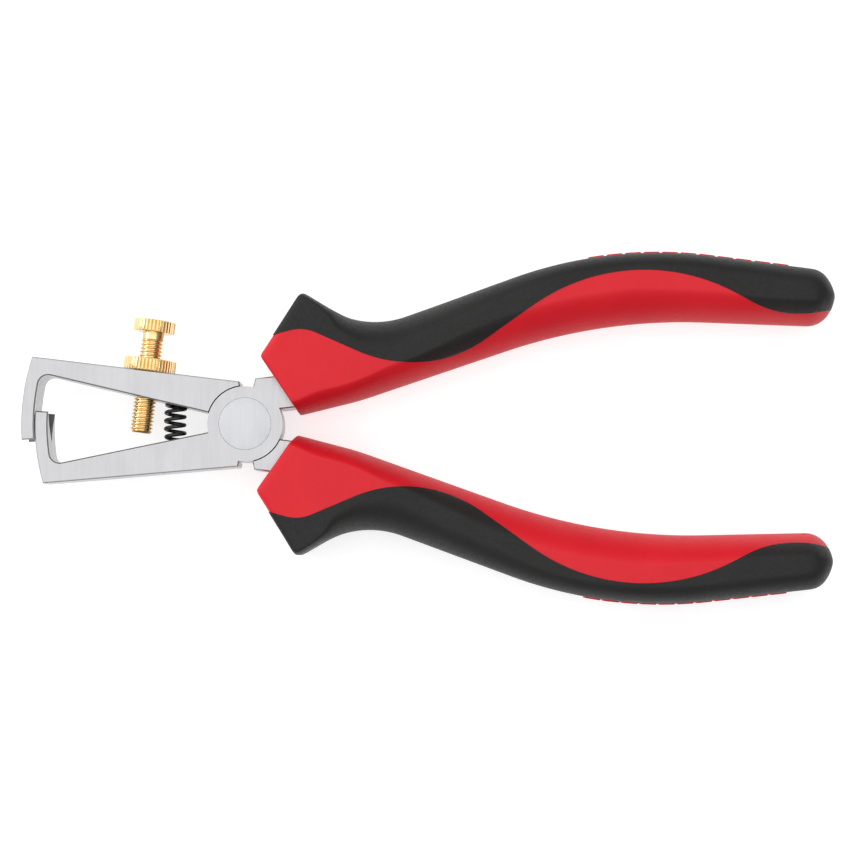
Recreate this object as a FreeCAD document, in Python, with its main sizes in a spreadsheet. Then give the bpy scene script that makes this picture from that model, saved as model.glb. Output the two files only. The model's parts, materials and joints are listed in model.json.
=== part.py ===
"""Wire-stripping pliers with an adjusting screw, an opening spring and two-colour grips.

Frame: millimetres. The tool lies flat with +X from the jaws to the handle ends, +Y across the
tool towards the adjusting screw and +Z up. The origin is under the middle of the tool, on the
surface that the grips rest on. Every piece is drawn about the pivot's centre, on the plane
where the two levers meet, and is then placed there.
"""
import FreeCAD, Part
import math
import os
import re
import Sketcher

Vector = FreeCAD.Vector
Rotation = FreeCAD.Rotation
Placement = FreeCAD.Placement

# Distance within which two places are the same.
TINY = 1e-4
# Distance within which an edge belongs to the corner that is looked for.
CORNER_REACH = 0.5
# Short step along the grip's back, which gives the back's direction.
BACK_STEP = 0.1

# Driving dimensions: name, millimetres or degrees, meaning.
SIZES = [
    # Levers: forged steel, lap joint.
    ("steel_thickness", 10.0, "levers, across the whole joint"),
    ("joint_radius", 8.1, "round lap of each lever"),
    ("shoulder_clearance", 0.25, "between a lap and the other lever's shoulder"),
    ("face_clearance", 0.04, "between the two laps"),
    ("jaw_end_angle", 98.3, "end face of each jaw, seen from the pivot"),
    ("tang_edge_angle", 78.0, "near edge of each tang, seen from the pivot"),
    ("limb_clearance", 0.2, "between the two stripping limbs"),
    ("limb_split_radius", 45.25, "outer face of the lower jaw's limb"),
    ("limb_corner_radius", 2.2, "inside corner between arm and limb"),
    ("edge_chamfer", 0.25, "ground edges of the levers"),
    ("cut_overrun", 1.0, "how far a cutting shape passes the steel"),
    # Upper jaw.
    ("upper_limb_width", 2.75, "radial width of the limb"),
    ("upper_edge_height", 8.93, "outer edge of the jaw above the pivot"),
    ("upper_edge_tilt", 6.43, "outer edge, degrees"),
    ("upper_inner_height", 0.58, "inner edge above the pivot"),
    ("upper_inner_tilt", 12.77, "inner edge, degrees"),
    ("upper_tip_angle", 4.6, "how far the limb passes the centre line, degrees"),
    # Lower jaw.
    ("lower_limb_width", 2.75, "radial width of the limb"),
    ("lower_edge_height", 9.07, "outer edge of the jaw below the pivot"),
    ("lower_edge_tilt", 5.39, "outer edge, degrees"),
    ("lower_inner_height", 0.18, "inner edge below the pivot"),
    ("lower_inner_tilt", 12.15, "inner edge, degrees"),
    ("lower_tip_angle", 3.1, "how far the limb passes the centre line, degrees"),
    # Wire notches ground in the limb tips.
    ("notch_depth", 6.6, "from the limb's end to the point of the notch"),
    ("notch_width", 9.0, "at the limb's end"),
    # Tangs.
    ("tang_root_stand", 1.5, "outer edge of the tang past the lap, where it leaves the joint"),
    ("tang_root_tilt", 6.5, "both edges of the tang outside the grip, degrees"),
    ("tang_root_width", 7.2, "tang outside the grip"),
    ("tang_root_reach", 15.0, "where the full thickness ends, inside the grip"),
    ("tang_width", 5.6, "tang inside the grip"),
    ("tang_thickness", 7.0, "tang inside the grip"),
    ("tang_slope", 18.5, "straight stretch inside the grip, degrees"),
    ("tang_start_height", 6.4, "tang's centre line where it leaves the root, from the pivot"),
    ("tang_bend_reach", 80.0, "where the tang bends back"),
    ("tang_tail_tilt", 3.0, "tail of the tang towards the centre line, degrees"),
    ("tang_end_reach", 112.0, "end of the tang"),
    ("tang_bend_radius", 60.0, "inside of the bend"),
    # Rivet.
    ("rivet_radius", 3.5, "shank"),
    ("rivet_head_radius", 5.65, "flush head"),
    ("rivet_head_depth", 1.6, "flush head"),
    ("rivet_clearance", 0.05, "running fit in the lever that turns on it"),
    # Adjusting screw, M5, and its lock nut.
    ("screw_radius", 2.5, "thread, outside"),
    ("thread_clearance", 0.05, "running fit in jaw and nut"),
    ("screw_station", 22.6, "axis, along the jaw's outer edge from the pivot"),
    ("screw_reach", 22.0, "tip to the underside of the head"),
    ("screw_neck_radius", 2.3, "plain neck under the head"),
    ("screw_neck_length", 1.3, "plain neck under the head"),
    ("screw_tip_chamfer", 0.6, "end of the thread"),
    ("screw_head_radius", 4.5, "knurled head"),
    ("screw_head_height", 2.65, "knurled head"),
    ("screw_spigot_radius", 1.5, "turned end of the shank inside the head"),
    ("screw_stand", 8.6, "underside of the head above the jaw"),
    ("nut_radius", 5.7, "knurled lock nut"),
    ("nut_height", 2.75, "knurled lock nut"),
    ("nut_seat_gap", 0.05, "between the nut and the jaw"),
    ("rim_chamfer", 0.4, "edges of the head and the nut"),
    ("knurl_depth", 0.2, "straight knurls"),
    ("head_knurls", 36.0, "grooves round the head"),
    ("nut_knurls", 46.0, "grooves round the nut"),
    # Opening spring.
    ("spring_station", 15.1, "axis, from the pivot towards the jaw tips"),
    ("spring_radius", 2.05, "middle of the wire"),
    ("spring_wire_radius", 0.42, "wire"),
    ("spring_turns", 6.5, "all turns"),
    ("spring_seat_depth", 2.5, "blind seat in each jaw"),
    ("spring_seat_clearance", 0.15, "round the spring in its seat"),
    ("spring_end_gap", 0.1, "between the spring and the floor of its seat"),
    # Grips.
    ("grip_thickness", 18.0, "across the grip, top to bottom"),
    ("grip_edge_radius", 4.5, "long edges"),
    ("skin_thickness", 2.2, "soft overmould"),
    ("guard_corner_radius", 1.0, "corners of the guard, seen from above"),
    ("guard_toe_reach", 3.1, "guard's corner nearest the joint"),
    ("guard_toe_height", 15.1, "guard's corner nearest the joint, from the centre line"),
    ("guard_peak_reach", 11.2, "guard's outer corner"),
    ("guard_peak_height", 29.0, "guard's outer corner, from the centre line"),
    ("scoop_reach", 25.6, "finger scoop behind the guard"),
    ("scoop_height", 20.6, "finger scoop, from the centre line"),
    ("scoop_radius", 20.0, "finger scoop"),
    ("crest_reach", 80.5, "crest of the grip's back"),
    ("crest_height", 40.2, "crest of the grip's back, from the centre line"),
    ("crest_radius", 96.0, "crest of the grip's back"),
    ("grip_reach", 127.4, "end of the grip"),
    ("grip_end_height", 34.2, "back of the grip at its end"),
    ("grip_end_base", 22.2, "inner edge of the grip at its end"),
    ("grip_end_radius", 5.4, "rounded end"),
    ("palm_reach", 77.2, "inner edge's bend"),
    ("palm_height", 23.65, "inner edge's bend, from the centre line"),
    ("palm_radius", 120.0, "inner edge's bend"),
    ("throat_reach", 24.6, "inner edge behind the nose"),
    ("throat_height", 5.3, "inner edge behind the nose, from the centre line"),
    ("throat_radius", 60.0, "inner edge behind the nose"),
    ("nose_reach", 11.3, "inner corner of the guard"),
    ("nose_height", 1.9, "inner corner of the guard, from the centre line"),
    ("nose_radius", 1.8, "inner corner of the guard"),
    ("lower_grip_setback", 0.5, "lower grip, towards the joint"),
    # Edge of the overmould on the grip's faces.
    ("outside", 12.0, "how far the cutting shape passes the grip"),
    ("skin_start_height", 14.6, "at the cutting shape's near end"),
    ("skin_guard_reach", 12.6, "rise of the edge across the guard"),
    ("skin_guard_height", 20.6, "rise of the edge across the guard, from the centre line"),
    ("skin_guard_radius", 8.0, "rise of the edge across the guard"),
    ("skin_dip_reach", 38.7, "dip of the edge under the scoop"),
    ("skin_dip_height", 9.3, "dip of the edge under the scoop, from the centre line"),
    ("skin_dip_radius", 28.0, "dip of the edge under the scoop"),
    ("skin_crest_reach", 82.6, "rise of the edge under the crest"),
    ("skin_crest_height", 40.6, "rise of the edge under the crest, from the centre line"),
    ("skin_crest_radius", 38.0, "rise of the edge under the crest"),
    ("skin_tail_reach", 117.0, "dip of the edge near the grip's end"),
    ("skin_tail_height", 23.4, "dip of the edge near the grip's end, from the centre line"),
    ("skin_tail_radius", 15.0, "dip of the edge near the grip's end"),
    ("skin_end_height", 26.4, "at the cutting shape's far end"),
    ("outside_radius", 1.0, "corners of the cutting shape outside the grip"),
    # Raised pads on the back of the grip, moulded on the core through a window in the skin.
    ("pad_count", 11.0, "pads in the row"),
    ("pad_pitch", 4.0, "from pad to pad"),
    ("pad_gap", 0.5, "between two pads"),
    ("pad_width", 7.0, "across the grip"),
    ("pad_stand", 0.6, "above the skin"),
    ("pad_start_reach", 73.2, "first pad"),
]

DOCUMENT = FreeCAD.newDocument("WireStripper")
SHEET = DOCUMENT.addObject("Spreadsheet::Sheet", "Sizes")
for row, (alias, number, meaning) in enumerate(SIZES, start=1):
    SHEET.set("A%d" % row, meaning)
    SHEET.set("B%d" % row, str(number))
    SHEET.setAlias("B%d" % row, alias)
DOCUMENT.recompute()

ALIASES = {entry[0] for entry in SIZES}

# Sizes worked out from the driving ones, each used in many places.
DERIVED = {
    "tang_root_height": "(joint_radius + tang_root_stand)",
    "lower_outer_radius": "(limb_split_radius)",
    "lower_inner_radius": "(limb_split_radius - lower_limb_width)",
    "upper_inner_radius": "(limb_split_radius + limb_clearance)",
    "upper_outer_radius": "(limb_split_radius + limb_clearance + upper_limb_width)",
}


def names(expression):
    """The expression as other objects write it, where each name belongs to the sheet."""
    words = re.split(r"(\w+)", str(expression))
    words = [names(DERIVED[word]) if word in DERIVED else word for word in words]
    return "".join("Sizes." + word if word in ALIASES else word for word in words)


def size(expression):
    """Value of an expression in the sheet's names, such as 'joint_radius * 2'."""
    return float(SHEET.evalExpression(names(expression)))


def bind(feature, **expressions):
    """Bind a feature's properties to expressions in the sheet's names."""
    for name, expression in expressions.items():
        feature.setExpression(name.replace("__", "."), names(expression))


PIVOT_REACH = "(upper_outer_radius - grip_reach) / 2"
PIVOT_LIFT = "grip_thickness / 2"


def place(feature):
    """Put something that is drawn about the pivot where the pivot is."""
    bind(feature, Placement__Base__x=PIVOT_REACH, Placement__Base__z=PIVOT_LIFT)


def body(label):
    """A body, drawn about the pivot and placed by it."""
    piece = DOCUMENT.addObject("PartDesign::Body", label)
    piece.Label = label
    place(piece)
    return piece


def sketch(piece, name, role="XY_Plane", lift="0"):
    """A sketch on one of the body's origin planes, lifted along the plane's normal."""
    plane = [feature for feature in piece.Origin.OriginFeatures if feature.Role == role][0]
    drawing = piece.newObject("Sketcher::SketchObject", name)
    drawing.AttachmentSupport = [(plane, "")]
    drawing.MapMode = "FlatFace"
    drawing.setExpression("AttachmentOffset.Base.z", names(lift))
    return drawing


def fix(drawing, kind, geometry, point, expression):
    """Dimension from the sketch's origin to a point, bound to an expression."""
    rule = Sketcher.Constraint(kind, -1, 1, geometry, point, size(expression))
    drawing.setExpression("Constraints[%d]" % drawing.addConstraint(rule), names(expression))


def polygon(piece, name, corners, role="XY_Plane", lift="0"):
    """A closed outline through corners given as pairs of expressions."""
    drawing = sketch(piece, name, role, lift)
    points = [Vector(size(x), size(y), 0) for x, y in corners]
    for start, end in zip(points, points[1:] + points[:1]):
        drawing.addGeometry(Part.LineSegment(start, end))
    for side, (x, y) in enumerate(corners):
        after = (side + 1) % len(corners)
        drawing.addConstraint(Sketcher.Constraint("Coincident", side, 2, after, 1))
        fix(drawing, "DistanceX", side, 1, x)
        fix(drawing, "DistanceY", side, 1, y)
    return drawing


def circle(piece, name, radius, x="0", y="0", role="XY_Plane", lift="0"):
    """A circle with its centre and radius bound."""
    drawing = sketch(piece, name, role, lift)
    drawing.addGeometry(Part.Circle(Vector(size(x), size(y), 0), Vector(0, 0, 1), size(radius)))
    fix(drawing, "DistanceX", 0, 3, x)
    fix(drawing, "DistanceY", 0, 3, y)
    rule = drawing.addConstraint(Sketcher.Constraint("Radius", 0, size(radius)))
    drawing.setExpression("Constraints[%d]" % rule, names(radius))
    return drawing


def pad(piece, name, drawing, length, midplane=False, reversed_way=False):
    """Material from a sketch."""
    feature = piece.newObject("PartDesign::Pad", name)
    feature.Profile = drawing
    feature.Midplane = midplane
    feature.Reversed = reversed_way
    bind(feature, Length=length)
    DOCUMENT.recompute()
    return feature


def pocket(piece, name, drawing, length, midplane=False, reversed_way=False):
    """Material taken away along a sketch; it has to take some."""
    before = piece.Shape.Volume
    feature = piece.newObject("PartDesign::Pocket", name)
    feature.Profile = drawing
    feature.Midplane = midplane
    feature.Reversed = reversed_way
    bind(feature, Length=length)
    DOCUMENT.recompute()
    if not piece.Shape.Volume < before:
        raise RuntimeError(name + " takes nothing away")
    return feature


# ---------------------------------------------------------------------------------------------
# Levers. Each has a jaw to the left of the pivot and a tang to the right, on the other side.
# ---------------------------------------------------------------------------------------------

def edge_point(height, tilt, radius, side):
    """Where a jaw's straight edge meets a circle about the pivot, as a pair of expressions."""
    along = "sqrt((%s)^2 - (%s)^2)" % (radius, height)
    x = "%s * sin(%s) - %s * cos(%s)" % (height, tilt, along, tilt)
    y = "%d * (%s * cos(%s) + %s * sin(%s))" % (side, height, tilt, along, tilt)
    return x, y


def limb_sketch(piece, name, inner, outer, start, end):
    """Part of a ring about the pivot between two angles, in degrees."""
    drawing = sketch(piece, name)
    low, high = math.radians(size(start)), math.radians(size(end))
    middle = Vector(0, 0, 0)
    up = Vector(0, 0, 1)
    ring = [Part.Circle(middle, up, size(radius)) for radius in (outer, inner)]
    drawing.addGeometry(Part.ArcOfCircle(ring[0], low, high))
    drawing.addGeometry(Part.ArcOfCircle(ring[1], low, high))
    for angle in (low, high):
        ray = Vector(math.cos(angle), math.sin(angle), 0)
        drawing.addGeometry(Part.LineSegment(ray * size(inner), ray * size(outer)))
    for arc, radius in ((0, outer), (1, inner)):
        drawing.addConstraint(Sketcher.Constraint("Coincident", arc, 3, -1, 1))
        rule = drawing.addConstraint(Sketcher.Constraint("Radius", arc, size(radius)))
        drawing.setExpression("Constraints[%d]" % rule, names(radius))
    for line, arc_end, angle in ((2, 1, start), (3, 2, end)):
        drawing.addConstraint(Sketcher.Constraint("Coincident", line, 1, 1, arc_end))
        drawing.addConstraint(Sketcher.Constraint("Coincident", line, 2, 0, arc_end))
        fix(drawing, "DistanceX", line, 2, "(%s) * cos(%s)" % (outer, angle))
        fix(drawing, "DistanceX", line, 1, "(%s) * cos(%s)" % (inner, angle))
    return drawing


def tang_corners(side):
    """Outline of the tang inside the grip: a straight stretch, one bend and a tail."""
    rise = "tan(tang_slope)"
    half = "tang_width / 2 / cos(tang_slope)"
    tail_half = "tang_width / 2"
    start_x = "joint_radius"
    bend_y = "tang_start_height + (tang_bend_reach - joint_radius) * " + rise
    tail_y = bend_y + " - (tang_end_reach - tang_bend_reach) * tan(tang_tail_tilt)"
    outline = [
        (start_x, "tang_start_height + " + half),
        ("tang_bend_reach", bend_y + " + " + half),
        ("tang_end_reach", tail_y + " + " + tail_half),
        ("tang_end_reach", tail_y + " - " + tail_half),
        ("tang_bend_reach", bend_y + " - " + half),
        (start_x, "tang_start_height - " + half),
    ]
    return [(x, "%d * (%s)" % (side, y)) for x, y in outline]


def root_corners(side):
    """Outline of the tang's full-thickness root, from the joint to inside the grip."""
    top = "tang_root_height / cos(tang_root_tilt)"
    foot = "(tang_root_height * cos(tang_root_tilt) / sin(tang_edge_angle - tang_root_tilt))"
    base = "(tang_root_height - tang_root_width) / cos(tang_root_tilt)"
    outline = [
        (foot + " * cos(tang_edge_angle)", foot + " * sin(tang_edge_angle)"),
        ("tang_root_reach", top + " + tang_root_reach * tan(tang_root_tilt)"),
        ("tang_root_reach", base + " + tang_root_reach * tan(tang_root_tilt)"),
        ("0", base),
        ("0", "0"),
    ]
    return [(x, "%d * (%s)" % (side, y)) for x, y in outline]


def lever(jaw, side, lap_side):
    """One lever: jaw arm, limb, tang and lap, then the cuts that both levers have.

    side is +1 when the jaw is above the pivot, and lap_side is +1 when the lap is uppermost.
    """
    label = jaw + "_jaw_lever"
    piece = body(label)
    height, tilt = jaw + "_edge_height", jaw + "_edge_tilt"
    inner_height, inner_tilt = jaw + "_inner_height", jaw + "_inner_tilt"
    limb_inner, limb_outer = jaw + "_inner_radius", jaw + "_outer_radius"
    limb_middle = "(%s + %s) / 2" % (limb_inner, limb_outer)

    end_radius = "%s / sin(jaw_end_angle + %s)" % (height, tilt)
    rear_corner = (end_radius + " * cos(jaw_end_angle)",
                   "%d * %s * sin(jaw_end_angle)" % (side, end_radius))
    arm = [
        edge_point(height, tilt, limb_outer, side),
        rear_corner,
        edge_point(inner_height, inner_tilt, inner_height, side),
        edge_point(inner_height, inner_tilt, limb_middle, side),
    ]
    arm_outline = polygon(piece, label + "_arm_outline", arm)
    pad(piece, label + "_arm", arm_outline, "steel_thickness", midplane=True)

    corner = "180 - %s - asin(%s / %s) / 1 deg" % (tilt, height, limb_outer)
    tip = "180 + %s_tip_angle" % jaw
    start, end = (corner, tip) if side > 0 else ("360 - (%s)" % tip, "360 - (%s)" % corner)
    limb_outline = limb_sketch(piece, label + "_limb_outline", limb_inner, limb_outer, start, end)
    pad(piece, label + "_limb", limb_outline, "steel_thickness", midplane=True)

    root_outline = polygon(piece, label + "_root_outline", root_corners(-side))
    pad(piece, label + "_root", root_outline, "steel_thickness", midplane=True)
    relief = circle(piece, label + "_relief_outline", "joint_radius + shoulder_clearance",
                    lift="-%d * face_clearance / 2" % lap_side)
    pocket(piece, label + "_relief", relief, "steel_thickness", reversed_way=lap_side < 0)
    lap = circle(piece, label + "_lap_outline", "joint_radius",
                 lift="%d * face_clearance / 2" % lap_side)
    pad(piece, label + "_lap", lap, "(steel_thickness - face_clearance) / 2",
        reversed_way=lap_side < 0)

    round_inside_corner(piece, label, edge_point(inner_height, inner_tilt, limb_inner, side))
    chamfer_faces(piece, label)
    tang = polygon(piece, label + "_tang_outline", tang_corners(-side))
    pad(piece, label + "_tang", tang, "tang_thickness", midplane=True)
    round_tang_bend(piece, label, -side)
    wire_notch(piece, label, jaw, side, limb_middle)
    spring_seat(piece, label, inner_height, inner_tilt, side)
    return piece


def dress(piece, kind, name, edges, **sizes):
    """A fillet or chamfer on the body's newest feature."""
    base = piece.Tip
    feature = piece.newObject("PartDesign::" + kind, name)
    feature.Base = (base, edges)
    bind(feature, **sizes)
    DOCUMENT.recompute()
    return feature


def upright_edges(piece, x, y, reach):
    """Names of the body's edges that run along Z within a distance of a place."""
    found = []
    for index, edge in enumerate(piece.Shape.Edges, start=1):
        box = edge.BoundBox
        upright = box.XLength < TINY and box.YLength < TINY
        if upright and math.hypot(box.Center.x - x, box.Center.y - y) < reach:
            found.append("Edge%d" % index)
    if not found:
        raise RuntimeError("no upright edge near %.2f, %.2f" % (x, y))
    return found


def round_inside_corner(piece, label, place_of_corner):
    """Round the corner between the arm and the limb."""
    x, y = (size(expression) for expression in place_of_corner)
    x += size(PIVOT_REACH)
    edges = upright_edges(piece, x, y, CORNER_REACH)
    dress(piece, "Fillet", label + "_corner", edges, Radius="limb_corner_radius")


def round_tang_bend(piece, label, side):
    """Round both sides of the tang's bend, as concentric arcs."""
    corners = tang_corners(side)
    for name, corner, radius in (("inside", 4, "tang_bend_radius"),
                                 ("outside", 1, "tang_bend_radius + tang_width")):
        x, y = (size(expression) for expression in corners[corner])
        edges = upright_edges(piece, x + size(PIVOT_REACH), y, CORNER_REACH)
        dress(piece, "Fillet", "%s_bend_%s" % (label, name), edges, Radius=radius)


def chamfer_faces(piece, label):
    """Break the edges of both ground faces, except round the lap."""
    half = size("steel_thickness") / 2
    centre = Vector(size(PIVOT_REACH), 0, size(PIVOT_LIFT))
    keep_off = size("joint_radius + shoulder_clearance") + TINY
    chosen = []
    for index, edge in enumerate(piece.Shape.Edges, start=1):
        points = [vertex.Point - centre for vertex in edge.Vertexes]
        points.append(edge.valueAt((edge.FirstParameter + edge.LastParameter) / 2) - centre)
        on_face = all(abs(abs(point.z) - half) < TINY for point in points)
        round_lap = all(math.hypot(point.x, point.y) < keep_off for point in points)
        if on_face and not round_lap:
            chosen.append("Edge%d" % index)
    dress(piece, "Chamfer", label + "_edges", chosen, Size="edge_chamfer")


def wire_notch(piece, label, jaw, side, limb_middle):
    """The V ground across the end of the limb, where the wire lies."""
    limb_end = "-%d * %s * sin(%s_tip_angle)" % (side, limb_middle, jaw)
    mouth = "notch_width / 2 * (1 + cut_overrun / notch_depth)"
    outline = [
        ("%s + %d * notch_depth" % (limb_end, side), "0"),
        ("%s - %d * cut_overrun" % (limb_end, side), mouth),
        ("%s - %d * cut_overrun" % (limb_end, side), "-" + mouth),
    ]
    notch = polygon(piece, label + "_notch_outline", outline, role="YZ_Plane",
                    lift="-%s_outer_radius - cut_overrun" % jaw)
    pocket(piece, label + "_notch", notch, "%s_limb_width + 3 * cut_overrun" % jaw,
           reversed_way=True)


def seat_mouth(height, tilt):
    """Height of a jaw's inner edge over the spring's axis, from the centre line."""
    return "(%s + spring_station * sin(%s)) / cos(%s)" % (height, tilt, tilt)


def spring_seat(piece, label, height, tilt, side):
    """A blind bore in the jaw's inner edge for the end of the spring."""
    mouth = seat_mouth(height, tilt)
    bore = "spring_radius + spring_wire_radius + spring_seat_clearance"
    seat = circle(piece, label + "_seat_outline", bore, x="-spring_station", role="XZ_Plane",
                  lift="-%d * (%s - cut_overrun)" % (side, mouth))
    pocket(piece, label + "_seat", seat, "spring_seat_depth + cut_overrun",
           reversed_way=side < 0)


def rivet_bore(piece, label, lap_side, clearance):
    """A bore through the lap, and a recess for the rivet's flush head."""
    bore = circle(piece, label + "_rivet_bore_outline", "rivet_radius + " + clearance)
    pocket(piece, label + "_rivet_bore", bore, "2 * steel_thickness", midplane=True)
    recess = circle(piece, label + "_rivet_recess_outline", "rivet_head_radius + " + clearance,
                    lift="%d * steel_thickness / 2" % lap_side)
    pocket(piece, label + "_rivet_recess", recess, "rivet_head_depth + " + clearance,
           reversed_way=lap_side < 0)


def screw_bore(piece, label):
    """The hole for the adjusting screw, square to the upper jaw's outer edge."""
    bore = circle(piece, label + "_screw_outline", "screw_radius + thread_clearance",
                  x="-screw_station", role="XZ_Plane")
    turn_about_pivot(bore, "AttachmentOffset", Vector(0, 1, 0), "-upper_edge_tilt")
    pocket(piece, label + "_screw_bore", bore, "4 * upper_edge_height", midplane=True)


def turn_about_pivot(feature, which, axis, angle):
    """Bind the angle of a placement's rotation about a fixed axis."""
    setattr(feature, which, Placement(getattr(feature, which).Base, Rotation(axis, 0)))
    feature.setExpression(which + ".Rotation.Angle", names(angle))


# ---------------------------------------------------------------------------------------------
# Turned pieces: rivet, adjusting screw, its knurled head and its lock nut.
# ---------------------------------------------------------------------------------------------

def turned(label, profile):
    """A piece turned about its own Z axis from half of its section, as (radius, height)."""
    piece = DOCUMENT.addObject("PartDesign::Body", label)
    piece.Label = label
    section = polygon(piece, label + "_section", profile, role="XZ_Plane")
    feature = piece.newObject("PartDesign::Revolution", label + "_turning")
    feature.Profile = section
    feature.ReferenceAxis = (section, ["V_Axis"])
    feature.Angle = 360
    DOCUMENT.recompute()
    return piece


def knurl(piece, label, radius, height, grooves):
    """Straight V grooves round the rim, one cut and then repeated."""
    outline = [
        ("%s - knurl_depth" % radius, "0"),
        ("%s + knurl_depth" % radius, "2 * knurl_depth"),
        ("%s + knurl_depth" % radius, "-2 * knurl_depth"),
    ]
    groove = polygon(piece, label + "_groove_outline", outline)
    cut = pocket(piece, label + "_groove", groove, "2 * %s" % height, reversed_way=True)
    pattern = piece.newObject("PartDesign::PolarPattern", label + "_knurl")
    pattern.Originals = [cut]
    pattern.Axis = (groove, ["N_Axis"])
    pattern.Angle = 360
    bind(pattern, Occurrences=grooves)
    piece.Tip = pattern
    DOCUMENT.recompute()


def stand_on_jaw(piece, height):
    """Stand a turned piece on the screw's axis, at a height over the jaw's outer edge."""
    reach = "(upper_edge_height + %s) * sin(upper_edge_tilt)" % height
    rise = "(upper_edge_height + %s) * cos(upper_edge_tilt)" % height
    axis = Vector(size("sin(upper_edge_tilt)"), size("cos(upper_edge_tilt)"), 0)
    piece.Placement = Placement(Vector(0, 0, 0), Rotation(Vector(0, 0, 1), axis))
    bind(piece,
         Placement__Base__x="%s + %s - screw_station * cos(upper_edge_tilt)" % (PIVOT_REACH, reach),
         Placement__Base__y="%s + screw_station * sin(upper_edge_tilt)" % rise,
         Placement__Base__z=PIVOT_LIFT)


def pivot_rivet():
    """The rivet that the levers turn on, with a flush head at each end."""
    low, high = "-steel_thickness / 2", "steel_thickness / 2"
    rear_head = "rivet_head_depth - steel_thickness / 2"
    front_head = "steel_thickness / 2 - rivet_head_depth"
    profile = [
        ("0", low), ("rivet_head_radius", low), ("rivet_head_radius", rear_head),
        ("rivet_radius", rear_head), ("rivet_radius", front_head),
        ("rivet_head_radius", front_head), ("rivet_head_radius", high), ("0", high),
    ]
    piece = turned("pivot_rivet", profile)
    place(piece)
    return piece


def adjusting_screw():
    """The threaded shank, its plain neck and the spigot that carries the head."""
    profile = [
        ("0", "-screw_reach"),
        ("screw_radius - screw_tip_chamfer", "-screw_reach"),
        ("screw_radius", "screw_tip_chamfer - screw_reach"),
        ("screw_radius", "-screw_neck_length"),
        ("screw_neck_radius", "-screw_neck_length"),
        ("screw_neck_radius", "0"),
        ("screw_spigot_radius", "0"),
        ("screw_spigot_radius", "screw_head_height / 2"),
        ("0", "screw_head_height / 2"),
    ]
    piece = turned("adjusting_screw", profile)
    stand_on_jaw(piece, "screw_stand")
    return piece


def screw_head():
    """The knurled head, bored for the shank's spigot."""
    bore = "screw_spigot_radius + thread_clearance"
    depth = "screw_head_height / 2 + thread_clearance"
    profile = [
        (bore, "thread_clearance"),
        ("screw_head_radius - rim_chamfer", "thread_clearance"),
        ("screw_head_radius", "thread_clearance + rim_chamfer"),
        ("screw_head_radius", "screw_head_height - rim_chamfer"),
        ("screw_head_radius - rim_chamfer", "screw_head_height"),
        ("0", "screw_head_height"), ("0", depth), (bore, depth),
    ]
    piece = turned("screw_head", profile)
    knurl(piece, "screw_head", "screw_head_radius", "screw_head_height", "head_knurls")
    stand_on_jaw(piece, "screw_stand")
    return piece


def lock_nut():
    """The knurled nut that locks the screw against the jaw."""
    bore = "screw_radius + thread_clearance"
    profile = [
        (bore, "0"), ("nut_radius - rim_chamfer", "0"), ("nut_radius", "rim_chamfer"),
        ("nut_radius", "nut_height - rim_chamfer"), ("nut_radius - rim_chamfer", "nut_height"),
        (bore, "nut_height"),
    ]
    piece = turned("lock_nut", profile)
    knurl(piece, "lock_nut", "nut_radius", "nut_height", "nut_knurls")
    stand_on_jaw(piece, "nut_seat_gap")
    return piece


# ---------------------------------------------------------------------------------------------
# Opening spring: a wire coiled between the floors of the two seats.
# ---------------------------------------------------------------------------------------------

def opening_spring():
    """A round wire swept along a helix whose axis runs across the tool."""
    low = "-(%s) - spring_seat_depth" % seat_mouth("lower_inner_height", "lower_inner_tilt")
    high = "%s + spring_seat_depth" % seat_mouth("upper_inner_height", "upper_inner_tilt")
    inset = "(spring_end_gap + spring_wire_radius)"
    rise = "(%s) - (%s) - 2 * %s" % (high, low, inset)

    coil = DOCUMENT.addObject("Part::Helix", "spring_line")
    bind(coil, Height=rise, Pitch="(%s) / spring_turns" % rise, Radius="spring_radius")
    wire = DOCUMENT.addObject("Part::Circle", "spring_wire_section")
    wire.Placement = Placement(Vector(0, 0, 0), Rotation(Vector(1, 0, 0), 90))
    bind(wire, Radius="spring_wire_radius", Placement__Base__x="spring_radius")
    spring = DOCUMENT.addObject("Part::Sweep", "opening_spring")
    spring.Label = "opening_spring"
    spring.Sections = [wire]
    spring.Spine = (coil, [])
    spring.Solid = True
    spring.Frenet = True
    spring.Placement = Placement(Vector(0, 0, 0), Rotation(Vector(1, 0, 0), -90))
    bind(spring,
         Placement__Base__x="%s - spring_station" % PIVOT_REACH,
         Placement__Base__y="%s + %s" % (low, inset),
         Placement__Base__z=PIVOT_LIFT)
    DOCUMENT.recompute()
    return spring


# ---------------------------------------------------------------------------------------------
# Grips: a hard core moulded on the tang, and a soft skin moulded over part of the core.
# ---------------------------------------------------------------------------------------------

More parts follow.
